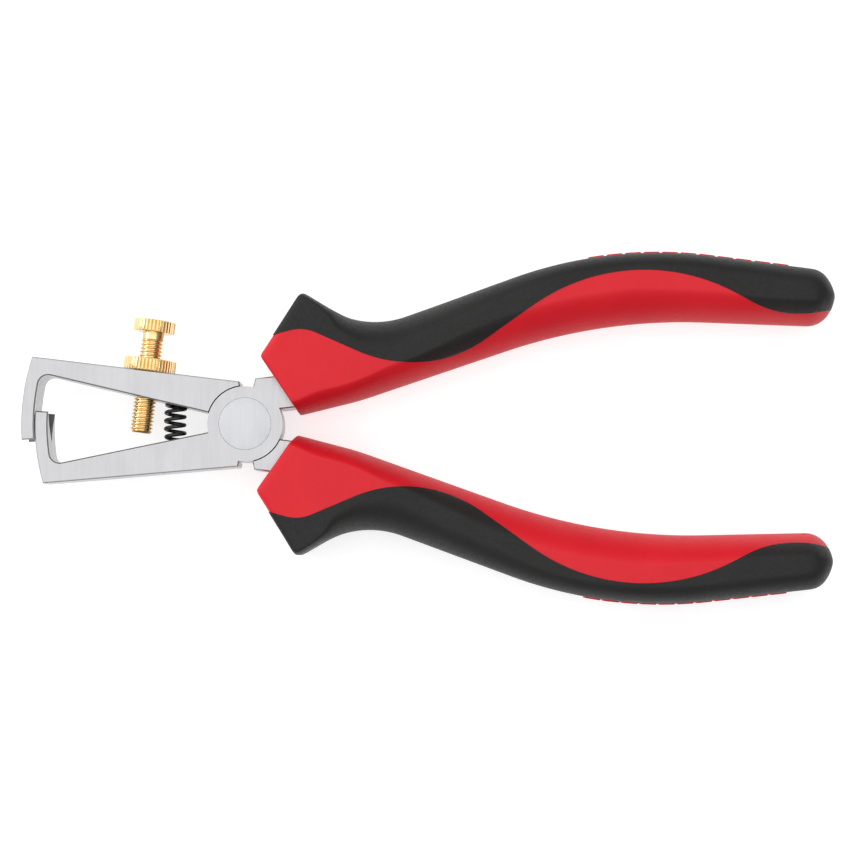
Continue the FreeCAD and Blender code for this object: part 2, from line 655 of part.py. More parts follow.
def rounded(piece, name, corners):
    """A closed outline of straight runs and tangent arcs, from (x, y, radius) corners."""
    drawing = sketch(piece, name)
    places = [Vector(size(x), size(y), 0) for x, y, radius in corners]
    radii = [size(radius) for x, y, radius in corners]
    count = len(corners)
    cuts = []
    for here, corner in enumerate(places):
        before = (places[here - 1] - corner).normalize()
        after = (places[(here + 1) % count] - corner).normalize()
        half = before.getAngle(after) / 2
        back = radii[here] / math.tan(half)
        bisector = (before + after).normalize()
        middle = corner + bisector * (radii[here] / math.sin(half) - radii[here])
        cuts.append((corner + before * back, middle, corner + after * back))
    for here in range(count):
        drawing.addGeometry(Part.LineSegment(cuts[here][2], cuts[(here + 1) % count][0]))
    for entry, middle, leave in cuts:
        drawing.addGeometry(Part.Arc(entry, middle, leave))
    for here, (x, y, radius) in enumerate(corners):
        line_in, line_out, arc = (here - 1) % count, here, count + here
        entry_end, leave_end = arc_ends(drawing, arc, cuts[here][0])
        drawing.addConstraint(Sketcher.Constraint("Tangent", line_in, 2, arc, entry_end))
        drawing.addConstraint(Sketcher.Constraint("Tangent", line_out, 1, arc, leave_end))
        rule = drawing.addConstraint(Sketcher.Constraint("Radius", arc, radii[here]))
        drawing.setExpression("Constraints[%d]" % rule, names(radius))
        drawing.addGeometry(Part.Point(places[here]), True)
        point = drawing.GeometryCount - 1
        drawing.addConstraint(Sketcher.Constraint("PointOnObject", point, 1, line_in))
        drawing.addConstraint(Sketcher.Constraint("PointOnObject", point, 1, line_out))
        fix(drawing, "DistanceX", point, 1, x)
        fix(drawing, "DistanceY", point, 1, y)
    return drawing


def arc_ends(drawing, arc, entry):
    """Sketcher's numbers for the arc's ends: the one at its entry first."""
    first = drawing.getPoint(arc, 1)
    return (1, 2) if first.distanceToPoint(entry) < TINY else (2, 1)


GRIP_CORNERS = [
    ("guard_toe_reach", "guard_toe_height", "guard_corner_radius"),
    ("guard_peak_reach", "guard_peak_height", "guard_corner_radius"),
    ("scoop_reach", "scoop_height", "scoop_radius"),
    ("crest_reach", "crest_height", "crest_radius"),
    ("grip_reach", "grip_end_height", "grip_end_radius"),
    ("grip_reach", "grip_end_base", "grip_end_radius"),
    ("palm_reach", "palm_height", "palm_radius"),
    ("throat_reach", "throat_height", "throat_radius"),
    ("nose_reach", "nose_height", "nose_radius"),
]

SKIN_CORNERS = [
    ("-outside", "skin_start_height", "skin_tail_radius"),
    ("skin_guard_reach", "skin_guard_height", "skin_guard_radius"),
    ("skin_dip_reach", "skin_dip_height", "skin_dip_radius"),
    ("skin_crest_reach", "skin_crest_height", "skin_crest_radius"),
    ("skin_tail_reach", "skin_tail_height", "skin_tail_radius"),
    ("grip_reach + outside", "skin_end_height", "outside_radius"),
    ("grip_reach + outside", "crest_height + outside", "outside_radius"),
    ("-outside", "crest_height + outside", "outside_radius"),
]


def boolean(kind, label, base, tool):
    """A Part boolean of two objects."""
    result = DOCUMENT.addObject("Part::" + kind, label)
    result.Label = label
    result.Base = base
    result.Tool = tool
    DOCUMENT.recompute()
    return result


def fused(label, pieces):
    """Several objects made one."""
    result = DOCUMENT.addObject("Part::MultiFuse", label)
    result.Shapes = pieces
    DOCUMENT.recompute()
    return result


def grip_block():
    """The whole grip, core and skin together, with its edges rounded."""
    piece = body("grip_form")
    outline = rounded(piece, "grip_outline", GRIP_CORNERS)
    pad(piece, "grip_block", outline, "grip_thickness", midplane=True)
    rim = []
    for index, edge in enumerate(piece.Shape.Edges, start=1):
        if edge.BoundBox.ZLength < TINY:
            rim.append("Edge%d" % index)
    dress(piece, "Fillet", "grip_rim", rim, Radius="grip_edge_radius")
    return piece, outline


def inner_block(outline):
    """What is left of the grip under the skin: the same outline, set in all round."""
    inset = DOCUMENT.addObject("Part::Offset2D", "core_outline")
    inset.Source = outline
    bind(inset, Value="-skin_thickness")
    block = DOCUMENT.addObject("Part::Extrusion", "core_form")
    block.Base = inset
    block.DirMode = "Custom"
    block.Dir = Vector(0, 0, 1)
    block.Solid = True
    bind(block, LengthFwd="grip_thickness / 2 - skin_thickness",
         LengthRev="grip_thickness / 2 - skin_thickness")
    place(block)
    DOCUMENT.recompute()
    return block


def grip_back(block, reach):
    """Place on the back of the grip at a reach from the pivot, and its outward direction."""
    centre = Vector(size(PIVOT_REACH), 0, size(PIVOT_LIFT))
    marks = []
    for shift in (0, BACK_STEP):
        x = centre.x + reach + shift
        ray = Part.makeLine(Vector(x, 0, centre.z), Vector(x, size("crest_height"), centre.z))
        marks.append(max((v.Point for v in block.Shape.common(ray).Vertexes), key=lambda p: p.y))
    along = (marks[1] - marks[0]).normalize()
    return marks[0], Vector(-along.y, along.x, 0)


def back_pads(block):
    """The row of raised pads, standing through the skin on the back of the grip."""
    pads = []
    for number in range(int(size("pad_count"))):
        reach = size("pad_start_reach") + number * size("pad_pitch")
        foot, outward = grip_back(block, reach)
        box = DOCUMENT.addObject("Part::Box", "pad_%d" % (number + 1))
        bind(box, Length="pad_pitch - pad_gap", Width="2 * skin_thickness + pad_stand",
             Height="pad_width")
        turn = Rotation(Vector(0, 1, 0), outward)
        corner = turn.multVec(Vector(0, -2 * size("skin_thickness"), 0))
        box.Placement = Placement(foot + corner - Vector(0, 0, size("pad_width") / 2), turn)
        pads.append(box)
    return fused("grip_pads", pads)


def mirrored(label, source):
    """The same piece for the lower handle, set back a little towards the joint."""
    twin = DOCUMENT.addObject("Part::Mirroring", label)
    twin.Source = source
    twin.Normal = Vector(0, 1, 0)
    bind(twin, Placement__Base__x="-lower_grip_setback")
    DOCUMENT.recompute()
    return twin


def grips():
    """Core and skin of both grips, each pair cut round its lever's tang."""
    block, outline = grip_block()
    inner = inner_block(outline)
    pads = back_pads(block)
    region = body("skin_form")
    region_outline = rounded(region, "skin_outline", SKIN_CORNERS)
    pad(region, "skin_block", region_outline, "2 * grip_thickness", midplane=True)
    skin_blank = boolean("Common", "skin_blank", block, region)
    skin_hollow = boolean("Cut", "skin_hollow", skin_blank, inner)
    skin = boolean("Cut", "upper_grip_skin", skin_hollow, pads)
    core_blank = boolean("Cut", "core_blank", block, skin_hollow)
    core_padded = fused("core_padded", [core_blank, pads])
    return [
        boolean("Cut", "upper_grip_core", core_padded, LOWER_LEVER),
        skin,
        boolean("Cut", "lower_grip_core", mirrored("lower_core_blank", core_padded), UPPER_LEVER),
        mirrored("lower_grip_skin", skin),
    ]


# ---------------------------------------------------------------------------------------------
# The whole tool
# ---------------------------------------------------------------------------------------------

def failed_objects():
    """Names of the document's objects that did not recompute."""
    return [item.Name for item in DOCUMENT.Objects
            if "Invalid" in item.State or "Error" in item.State]


def export(pieces):
    """Write each sub-part to a file of its own, once all of them are sound."""
    DOCUMENT.recompute()
    failed = failed_objects()
    failed += [item.Label for item in pieces if item.Shape.isNull() or not item.Shape.isValid()]
    if failed:
        raise RuntimeError("failed: " + ", ".join(failed))
    os.makedirs("parts", exist_ok=True)
    for item in pieces:
        item.Shape.exportStep(os.path.join("parts", item.Label + ".step"))


LOWER_LEVER = lever("lower", -1, 1)
UPPER_LEVER = lever("upper", 1, -1)
rivet_bore(LOWER_LEVER, "lower_jaw_lever", 1, "0")
rivet_bore(UPPER_LEVER, "upper_jaw_lever", -1, "rivet_clearance")
screw_bore(UPPER_LEVER, "upper_jaw_lever")

export([LOWER_LEVER, UPPER_LEVER, pivot_rivet(), adjusting_screw(), screw_head(), lock_nut(),
        opening_spring()] + grips())
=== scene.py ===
"""Looks of a wire stripper: steel levers, a brass adjusting screw and moulded grips.

Everything is in metres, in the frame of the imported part. Sizes below are in millimetres, and the
grips, the rivet and the spring are drawn about the pivot's centre.
"""
import json
import math

import bmesh
import bpy
from mathutils import Matrix, Vector


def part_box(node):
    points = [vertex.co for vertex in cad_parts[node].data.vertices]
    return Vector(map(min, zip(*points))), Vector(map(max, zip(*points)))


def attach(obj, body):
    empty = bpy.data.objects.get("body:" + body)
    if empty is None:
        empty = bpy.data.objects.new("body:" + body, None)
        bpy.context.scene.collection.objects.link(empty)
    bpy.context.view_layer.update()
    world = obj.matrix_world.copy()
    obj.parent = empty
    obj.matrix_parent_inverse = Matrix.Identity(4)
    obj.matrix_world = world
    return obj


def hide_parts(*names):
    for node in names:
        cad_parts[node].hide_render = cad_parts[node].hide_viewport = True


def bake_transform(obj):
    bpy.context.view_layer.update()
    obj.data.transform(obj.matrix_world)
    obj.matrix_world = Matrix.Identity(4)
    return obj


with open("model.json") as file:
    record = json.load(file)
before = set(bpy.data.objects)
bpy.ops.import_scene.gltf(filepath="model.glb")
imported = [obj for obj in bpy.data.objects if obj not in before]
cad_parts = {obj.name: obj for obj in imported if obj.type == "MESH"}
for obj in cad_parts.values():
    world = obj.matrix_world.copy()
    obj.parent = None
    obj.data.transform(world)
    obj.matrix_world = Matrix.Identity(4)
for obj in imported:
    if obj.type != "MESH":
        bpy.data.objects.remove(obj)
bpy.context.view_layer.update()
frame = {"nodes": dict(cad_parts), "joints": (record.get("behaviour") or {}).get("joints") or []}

MM = 0.001
# Vertices closer than this are one: on a shape just drawn, and on a finished one.
MERGE = 0.002
FINE_MERGE = 1e-4

# ---------------------------------------------------------------------------------------------
# Sizes, in millimetres and degrees.
# ---------------------------------------------------------------------------------------------

# Grip outline, about the pivot: corners as (x, y, radius).
GRIP_BACK = [(11.25, 29.0, 0.0), (25.6, 20.6, 20.0), (78.8, 39.85, 92.0), (127.2, 34.1, 5.4),
             (127.2, 28.4, 0.0)]
GRIP_INSIDE = [(11.25, 1.9, 0.0), (24.6, 5.3, 60.0), (77.2, 23.65, 120.0), (127.2, 22.2, 5.4),
               (127.2, 28.0, 0.0)]
GUARD_TOE = (3.1, 15.1)
GUARD_FADE = 15.0
GRIP_THICKNESS = 18.0
# Rounding of the grip's end in its thickness: along the grip, and off each face.
GRIP_END_ROUND = 6.0
GRIP_END_DROP = 5.6
LOWER_SETBACK = 0.5

# Width of the rounded edges along the grip, as (reach from the pivot, width).
INNER_ROUND = [(11.0, 2.4), (20.0, 3.4), (33.0, 5.0), (55.0, 7.2), (77.0, 7.4), (98.0, 6.2),
               (115.0, 5.2), (127.4, 5.0)]
OUTER_ROUND = [(11.0, 0.8), (16.0, 0.9), (18.0, 1.5), (22.4, 4.4), (26.0, 6.2), (33.0, 7.2),
               (48.0, 5.6), (70.0, 3.8), (127.4, 4.2)]
# Rounded edge of the guard's two front faces: beside the lever's tang, and beside the peak.
FRONT_ROUND = (0.7, 2.0)
# Drop of the inner and the outer rounded edges, and their fullness: 2 is a plain ellipse and 1 a
# straight slope.
INNER_DROP, INNER_FULLNESS = 8.6, 1.5
OUTER_DROP = [(11.0, 3.0), (18.0, 4.0), (23.0, 8.2), (38.0, 7.6), (60.0, 5.6), (127.4, 5.6)]
OUTER_FULLNESS = 1.8

# Edge of the soft skin on the grip's faces, and the skin itself.
SKIN_EDGE = [(-12.0, 14.6, 0.0), (12.6, 20.6, 8.0), (38.7, 9.3, 28.0), (82.5, 40.5, 41.0),
             (116.3, 22.9, 24.0), (139.4, 29.3, 0.0), (139.4, 52.0, 0.0), (-12.0, 52.0, 0.0)]
SKIN_STAND = 0.14
SKIN_THICKNESS = 2.2

# Pads on the back of the grip.
PAD_COUNT = 11
PAD_PITCH = 4.0
PAD_LENGTH = 3.5
PAD_WIDTH = 7.0
PAD_STAND = 0.28
PAD_EDGE = 0.28
PAD_ROOT = 1.2
PAD_START = 73.6
# Window that the pads stand in: room at its sides and its start, depth and height of the cut.
WINDOW_GAP = 0.25
WINDOW_LEAD = 0.3
WINDOW_SLACK = 0.1
WINDOW_DEPTH = 0.6
WINDOW_HEIGHT = 2.0
WINDOW_STEPS = 16
# Half height of the block that cuts the skin, and the step that gives the back's direction.
SKIN_CUT = 14.0
BACK_STEP = 0.2

# Screw, head and nut about the screw's axis, heights from the underside of the head.
THREAD_RADIUS = 2.5
THREAD_ROOT = 2.02
THREAD_PITCH = 0.8
SHANK_LENGTH = 22.0
NECK_RADIUS = 2.3
NECK_LENGTH = 1.3
THREAD_TURNS = 27
# The ridge's section: half its width at the root and at the crest, and its depth in the shank.
RIDGE_FOOT = 0.36
RIDGE_CREST = 0.05
RIDGE_ROOT = 0.1
TIP_CHAMFER = 0.6
THREAD_END_CHAMFER = 0.3
NECK_OVERLAP = 0.25
HEAD_RADIUS = 4.5
HEAD_HEIGHT = 2.65
NUT_RADIUS = 5.7
NUT_HEIGHT = 2.75
NUT_BORE = 2.55
RIM_CHAMFER = 0.4
KNURL_DEPTH = 0.24
HEAD_KNURLS = 36
NUT_KNURLS = 46
# The recess in the head's top: its radius as a share of the head's, and its depth.
RECESS_SHARE = 0.62
RECESS_DEPTH = 0.18
# How far a cutting shape passes the piece that it cuts.
OVERRUN = 1.0
BLANK_STAND = 0.05

# Sides of the round pieces, steps of a wound turn, and vertices from one knurl to the next.
ROUND_SIDES = 96
FINE_SIDES = 128
SHANK_SIDES = 80
WIRE_SIDES = 16
THREAD_STEPS = 40
SPRING_STEPS = 44
KNURL_VERTICES = 4

# Faces that meet at less than this are smooth.
GRIP_SMOOTHING = 38.0
SHANK_SMOOTHING = 32.0
KNURL_SMOOTHING = 24.0
RIVET_SMOOTHING = 30.0
SPRING_SMOOTHING = 60.0

# Rivet and spring.
RIVET_RADIUS = 5.65
RIVET_BEVEL = 0.16
STEEL_THICKNESS = 10.0
SPRING_RADIUS = 2.05
SPRING_BOW = 0.45
SPRING_WIRE = 0.42
SPRING_TURNS = 6.5

JOINTS = {joint["name"]: joint for joint in frame["joints"]}
PIVOT = Vector(JOINTS["jaw_pivot"]["pos_m"])
SCREW_AXIS = Vector(JOINTS["screw_turn"]["axis"])
HEAD_SEAT = Vector(JOINTS["screw_turn"]["pos_m"])
NUT_SEAT = Vector(JOINTS["nut_turn"]["pos_m"])


# ---------------------------------------------------------------------------------------------
# Hand work: small helpers over Blender's operators.
# ---------------------------------------------------------------------------------------------

def clear_selection():
    bpy.ops.object.select_all(action="DESELECT")


def take(piece):
    """Select one piece and make it the active one."""
    clear_selection()
    piece.select_set(True)
    bpy.context.view_layer.objects.active = piece


def edit(piece, kind="FACE"):
    """Open a piece in edit mode with nothing selected."""
    take(piece)
    bpy.ops.object.mode_set(mode="EDIT")
    bpy.ops.mesh.select_mode(type=kind)
    bpy.ops.mesh.select_all(action="DESELECT")


def done():
    bpy.ops.object.mode_set(mode="OBJECT")


def pick(piece, kind, test):
    """Select the faces, edges or vertices of an open piece that pass a test."""
    mesh = bmesh.from_edit_mesh(piece.data)
    for item in getattr(mesh, kind):
        if test(item):
            item.select_set(True)
    mesh.select_flush_mode()
    bmesh.update_edit_mesh(piece.data)


def recalculate(piece, tolerance=FINE_MERGE):
    """Merge doubles and turn all faces outwards."""
    edit(piece, "VERT")
    bpy.ops.mesh.select_all(action="SELECT")
    bpy.ops.mesh.remove_doubles(threshold=tolerance)
    bpy.ops.mesh.normals_make_consistent(inside=False)
    done()


def apply_modifier(piece, kind, **settings):
    """Add one modifier and apply it."""
    take(piece)
    modifier = piece.modifiers.new(kind.title(), kind)
    for name, value in settings.items():
        setattr(modifier, name, value)
    bpy.ops.object.modifier_apply(modifier=modifier.name)


def boolean(piece, operation, tool):
    """Cut, join or intersect a piece with a tool, exactly, and put the tool away."""
    apply_modifier(piece, "BOOLEAN", operation=operation, object=tool, solver="EXACT")
    bpy.data.objects.remove(tool, do_unlink=True)


def copy_of(piece, name):
    """A copy with a mesh of its own."""
    twin = piece.copy()
    twin.data = piece.data.copy()
    twin.name = name
    bpy.context.scene.collection.objects.link(twin)
    return twin


def put(piece, matrix):
    """Apply a placement to the mesh, from millimetres to metres."""
    piece.data.transform(Matrix.Scale(MM, 4))
    piece.data.transform(matrix)
    piece.data.update()


def smooth(piece, degrees):
    """Smooth shading up to an angle between faces."""
    take(piece)
    bpy.ops.object.shade_smooth_by_angle(angle=math.radians(degrees))


def finish_piece(piece, name, body, slot, material, *nodes):
    """Name a piece, give it its finish and let it ride on its body."""
    piece.name = name
    piece.data.name = name
    piece.data.materials.clear()
    piece.data.materials.append(material)
    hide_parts(*nodes)
    if body:
        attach(piece, body)


def eased(share):
    """A share from 0 to 1 with a soft start and end."""
    share = min(1.0, max(0.0, share))
    return share * share * (3 - 2 * share)


def interpolated(stops, x):
    """Smooth value between given stops (x, value)."""
    if x <= stops[0][0]:
        return stops[0][1]
    for (x0, v0), (x1, v1) in zip(stops, stops[1:]):
        if x <= x1:
            return v0 + (v1 - v0) * eased((x - x0) / (x1 - x0))
    return stops[-1][1]


def rounded_path(corners, steps=24):
    """Points of an outline whose corners (x, y, radius) are arcs. The ends stay as they are."""
    points = []
    for index, (x, y, radius) in enumerate(corners):
        corner = Vector((x, y))
        if radius == 0.0:
            points.append(corner)
            continue
        before = (Vector(corners[index - 1][:2]) - corner).normalized()
        after = (Vector(corners[(index + 1) % len(corners)][:2]) - corner).normalized()
        half = before.angle(after) / 2
        centre = corner + (before + after).normalized() * radius / math.sin(half)
        entry = corner + before * radius / math.tan(half) - centre
        leave = corner + after * radius / math.tan(half) - centre
        for step in range(steps + 1):
            share = step / steps
            turn = math.pi - 2 * half
            spoke = (entry * math.sin(turn * (1 - share)) + leave * math.sin(turn * share))
            points.append(centre + spoke / math.sin(turn))
    return points


def height_on(path, x):
    """Height of a path that runs along X."""
    for start, end in zip(path, path[1:]):
        if start.x <= x <= end.x and end.x > start.x:
            return start.y + (end.y - start.y) * (x - start.x) / (end.x - start.x)
    return path[-1].y


def sheet_of(points, name):
    """A flat face with the given outline, from a circle with as many corners."""
    clear_selection()
    bpy.ops.mesh.primitive_circle_add(vertices=len(points), radius=1, fill_type="NGON")
    piece = bpy.context.active_object
    piece.name = name
    for vertex, point in zip(piece.data.vertices, points):
        vertex.co = Vector((point.x, point.y, 0))
    return piece


def block_of(points, low, high, name):
    """A straight-sided block between two heights."""
    piece = sheet_of(points, name)
    edit(piece)
    bpy.ops.mesh.select_all(action="SELECT")
    bpy.ops.transform.translate(value=(0, 0, low))
    bpy.ops.mesh.extrude_region_move(TRANSFORM_OT_translate={"value": (0, 0, high - low)})
    done()
    recalculate(piece, MERGE)
    return piece


# ---------------------------------------------------------------------------------------------
# Grips
# ---------------------------------------------------------------------------------------------

BACK_PATH = rounded_path(GRIP_BACK)
INSIDE_PATH = rounded_path(GRIP_INSIDE)
GUARD_REACH = GRIP_BACK[0][0]
GRIP_REACH = GRIP_BACK[-1][0]
END_RADIUS = GRIP_BACK[3][2]
TOE_SHARE = (GUARD_TOE[1] - GRIP_INSIDE[0][1]) / (GRIP_BACK[0][1] - GRIP_INSIDE[0][1])

# Steps round a section and along the grip.
FACE_STEPS = 34
ARC_STEPS = 14
SIDE_STEPS = 2
FRONT_STEPS = 6
BODY_STEPS = 96
END_STEPS = 14
# From the front edge to the next station, and the least half height of a section.
FRONT_GAP = 0.3
TOE_TIP = 0.3
# Largest share of a section's height or half thickness that a rounded edge may take.
WIDTH_SHARE = 0.47
DROP_SHARE = 0.95
# Shares of the front's height: its rounded crease, and the change of its edge at the toe.
TOE_CREASE = 0.02
TOE_BLEND = 0.12
# Ring points are told apart to so many decimals, and lie on one height within a thousandth.
DECIMALS = 3
ON_HEIGHT = 1e-3
# A ring that bulges less than this is flat.
FLAT = 0.1


def grip_stations():
    """Stations along the grip, as (reach, thickness taken off each face, angle of the front edge).

    The front edge's angle goes from 0, on the guard's front, to a quarter turn.
    """
    quarter = math.pi / 2
    first, last = GUARD_REACH + FRONT_ROUND[1] + FRONT_GAP, GRIP_REACH - END_RADIUS
    stations = [(GUARD_REACH, quarter * step / FRONT_STEPS) for step in range(FRONT_STEPS)]
    stations += [(first + (last - first) * step / BODY_STEPS, quarter)
                 for step in range(BODY_STEPS + 1)]
    stations += [(last + END_RADIUS * math.sin(quarter * (step + 1) / END_STEPS), quarter)
                 for step in range(END_STEPS)]
    rounded = []
    for reach, angle in stations:
        share = max(0.0, (reach - GRIP_REACH) / GRIP_END_ROUND + 1)
        drawn = GRIP_END_DROP * (1 - math.sqrt(max(0.0, 1 - share * share)))
        rounded.append((reach, drawn, angle))
    return rounded


def half_section(length, half, first, second):
    """Upper half of a section as (y, z), from one edge over the face to the other.

    Each edge is (width, drop, fullness) of its rounding.
    """
    (width, drop, fullness), (far_width, far_drop, far_fullness) = first, second
    width, far_width = (min(size, WIDTH_SHARE * length) for size in (width, far_width))
    drop, far_drop = (min(size, DROP_SHARE * half) for size in (drop, far_drop))
    points = [(0.0, (half - drop) * step / SIDE_STEPS) for step in range(SIDE_STEPS)]
    for step in range(ARC_STEPS):
        angle = math.pi / 2 * step / ARC_STEPS
        points.append((width * (1 - math.cos(angle) ** (2 / fullness)),
                       half - drop * (1 - math.sin(angle) ** (2 / fullness))))
    for step in range(FACE_STEPS):
        points.append((width + (length - width - far_width) * step / FACE_STEPS, half))
    for step in range(ARC_STEPS):
        angle = math.pi / 2 * step / ARC_STEPS
        points.append((length - far_width * (1 - math.sin(angle) ** (2 / far_fullness)),
                       half - far_drop * (1 - math.cos(angle) ** (2 / far_fullness))))
    points += [(length, (half - far_drop) * (1 - step / SIDE_STEPS))
               for step in range(SIDE_STEPS)]
    return points


def grip_ring(reach, drawn, angle, inset):
    """One ring of the grip's surface, all round, set in by a depth below the real surface."""
    low_round, high_round = FRONT_ROUND
    span = GRIP_REACH - GUARD_REACH
    station = GUARD_REACH + inset + (reach - GUARD_REACH) * (span - 2 * inset) / span
    along = 1 - math.cos(angle) if angle < math.pi / 2 else 0.0
    low = height_on(INSIDE_PATH, station + low_round * along)
    low += inset + low_round * (1 - math.sin(angle))
    high = height_on(BACK_PATH, station + high_round * along)
    high -= inset + high_round * (1 - math.sin(angle))
    middle = (low + high) / 2
    low, high = min(low, middle - TOE_TIP), max(high, middle + TOE_TIP)
    length = high - low
    half = GRIP_THICKNESS / 2 - inset - drawn
    inner = (interpolated(INNER_ROUND, reach), INNER_DROP, INNER_FULLNESS)
    outer = (interpolated(OUTER_ROUND, reach), interpolated(OUTER_DROP, reach), OUTER_FULLNESS)
    upper = half_section(length, half, inner, outer)
    lower = [(length - y, -z) for y, z in half_section(length, half, outer, inner)]
    depth = GUARD_REACH - GUARD_TOE[0]
    fade = eased(1 - (reach - GUARD_REACH - high_round) / GUARD_FADE)
    ring = []
    for y, z in upper + lower:
        share = y / length
        side = TOE_SHARE if share < TOE_SHARE else 1 - TOE_SHARE
        tent = max(0.0, 1 - math.hypot(abs(share - TOE_SHARE) / side, TOE_CREASE))
        upwards = eased((share - TOE_SHARE) / TOE_BLEND + 0.5)
        edge = low_round + (high_round - low_round) * upwards
        x = station - depth * fade * tent + edge * along
        ring.append(Vector((x, low + y, z * (half - edge * (1 - math.sin(angle))) / half)))
    return ring


def grip_form(inset, name):
    """The whole grip: a grid rolled round its sections, closed at the guard and at the end."""
    rings = [grip_ring(reach, drawn, angle, inset) for reach, drawn, angle in grip_stations()]
    around, along = len(rings[0]), len(rings)
    clear_selection()
    bpy.ops.mesh.primitive_grid_add(x_subdivisions=around, y_subdivisions=along - 1, size=2)
    piece = bpy.context.active_object
    piece.name = name
    columns = around + 1
    for index, vertex in enumerate(piece.data.vertices):
        vertex.co = rings[index // columns][index % columns % around]
    recalculate(piece, MERGE)
    for end in (0, along - 1):
        close_end(piece, rings[end])
    recalculate(piece)
    return piece


def close_end(piece, ring):
    """Close an open end with one flat face, or with one on each side of the guard's toe."""
    def key(place):
        return tuple(round(value, DECIMALS) for value in place)

    places = {key(point) for point in ring}
    toe = min(range(len(ring) // 2), key=lambda number: ring[number].x)
    crease = {key(ring[toe]), key(ring[-toe])}
    rim = [max(point.y for point in ring), ring[toe].y, min(point.y for point in ring)]
    if max(point.x for point in ring) - ring[toe].x < FLAT:
        rim.pop(1)
    else:
        edit(piece, "VERT")
        pick(piece, "verts", lambda vertex: key(vertex.co) in crease)
        bpy.ops.mesh.edge_face_add()
        done()
    for high, low in zip(rim, rim[1:]):
        edit(piece, "EDGE")
        pick(piece, "edges", lambda edge: (edge.is_boundary or edge.is_wire)
             and all(key(vertex.co) in places
                     and low - ON_HEIGHT < vertex.co.y < high + ON_HEIGHT
                     for vertex in edge.verts))
        bpy.ops.mesh.edge_face_add()
        done()


def back_place(reach):
    """Place on the grip's back and the turn that makes +Y point out of it."""
    here = Vector((reach, height_on(BACK_PATH, reach), 0))
    ahead, behind = reach + BACK_STEP, reach - BACK_STEP
    rise = height_on(BACK_PATH, ahead) - height_on(BACK_PATH, behind)
    return Matrix.Translation(here) @ Matrix.Rotation(math.atan2(rise, 2 * BACK_STEP), 4, "Z")


def pad_block(name):
    """One pad, as a block sunk into the grip's back, with all but its lowest edges rounded."""
    clear_selection()
    bpy.ops.mesh.primitive_cube_add(size=1)
    piece = bpy.context.active_object
    piece.name = name
    edit(piece)
    bpy.ops.mesh.select_all(action="SELECT")
    depth = SKIN_THICKNESS + PAD_ROOT + PAD_STAND
    bpy.ops.transform.resize(value=(PAD_LENGTH, depth, PAD_WIDTH))
    bpy.ops.transform.translate(value=(0, PAD_STAND - depth / 2, 0))
    bpy.ops.mesh.select_all(action="DESELECT")
    pick(piece, "edges", lambda edge: sum(v.co.y for v in edge.verts) > 0
         or abs(edge.verts[0].co.y - edge.verts[1].co.y) > 1)
    bpy.ops.mesh.bevel(offset=PAD_EDGE, segments=3, profile=0.5)
    done()
    return piece


def pad_row(name):
    """All pads as one piece."""
    pads = []
    for number in range(PAD_COUNT):
        pad = pad_block("%s_%d" % (name, number))
        reach = PAD_START + (number + 0.5) * PAD_PITCH
        pad.data.transform(back_place(reach))
        pads.append(pad)
    clear_selection()
    for pad in pads:
        pad.select_set(True)
    bpy.context.view_layer.objects.active = pads[0]
    bpy.ops.object.join()
    return pads[0]


def skin_window():
    """A window in the skin that the whole row of pads stands in."""
    half = PAD_WIDTH / 2 + WINDOW_GAP
    length = PAD_COUNT * PAD_PITCH + WINDOW_SLACK
    reaches = [PAD_START - WINDOW_LEAD + length * step / WINDOW_STEPS
               for step in range(WINDOW_STEPS + 1)]
    floor = -SKIN_THICKNESS - WINDOW_DEPTH
    outer = [back_place(reach) @ Vector((0, WINDOW_HEIGHT, 0)) for reach in reaches]
    inner = [back_place(reach) @ Vector((0, floor, 0)) for reach in reaches]
    return block_of(outer + inner[::-1], -half, half, "skin_window")


def grip_pieces():
    """Core and skin of the upper grip, drawn about the pivot, in millimetres."""
    edge = rounded_path(SKIN_EDGE)
    skin = grip_form(0.0, "grip_skin")
    core = grip_form(SKIN_STAND, "grip_core")
    hollow = grip_form(SKIN_THICKNESS, "skin_hollow")
    boolean(skin, "INTERSECT", block_of(edge, -SKIN_CUT, SKIN_CUT, "skin_region"))
    boolean(skin, "DIFFERENCE", hollow)
    boolean(skin, "DIFFERENCE", skin_window())
    boolean(core, "UNION", pad_row("pads"))
    return core, skin


def grips():
    """Both grips: the lower one is the upper one mirrored and set back."""
    core, skin = grip_pieces()
    flip = Matrix.Translation((-LOWER_SETBACK, 0, 0)) @ Matrix.Scale(-1, 4, (0, 1, 0))
    place = Matrix.Translation(PIVOT)
    finishes = ((core, "core", "grip_core_red", RED), (skin, "skin", "grip_skin_black", BLACK))
    for piece, part, slot, material in finishes:
        twin = copy_of(piece, "lower_" + part)
        twin.data.transform(flip)
        recalculate(twin)
        recalculate(piece)
        for side, body, shape in (("upper", "lower_jaw", piece), ("lower", "upper_jaw", twin)):
            put(shape, place)
            smooth(shape, GRIP_SMOOTHING)
            node = "%s_grip_%s" % (side, part)
            finish_piece(shape, node + "_moulded", body, slot, material, node)


# ---------------------------------------------------------------------------------------------
# Turned brass: screw, head and nut
# ---------------------------------------------------------------------------------------------

def on_screw(seat):
    """Placement that stands a turned piece on the screw's axis."""
    return Matrix.Translation(seat) @ SCREW_AXIS.to_track_quat("Z", "Y").to_matrix().to_4x4()


def cylinder(radius, low, high, name, sides=ROUND_SIDES):
    """A solid cylinder along Z between two heights."""
    clear_selection()
    bpy.ops.mesh.primitive_cylinder_add(vertices=sides, radius=radius, depth=high - low,
                                        location=(0, 0, (low + high) / 2))
    piece = bpy.context.active_object
    piece.name = name
    bpy.ops.object.transform_apply(location=True, rotation=True, scale=True)
    return piece


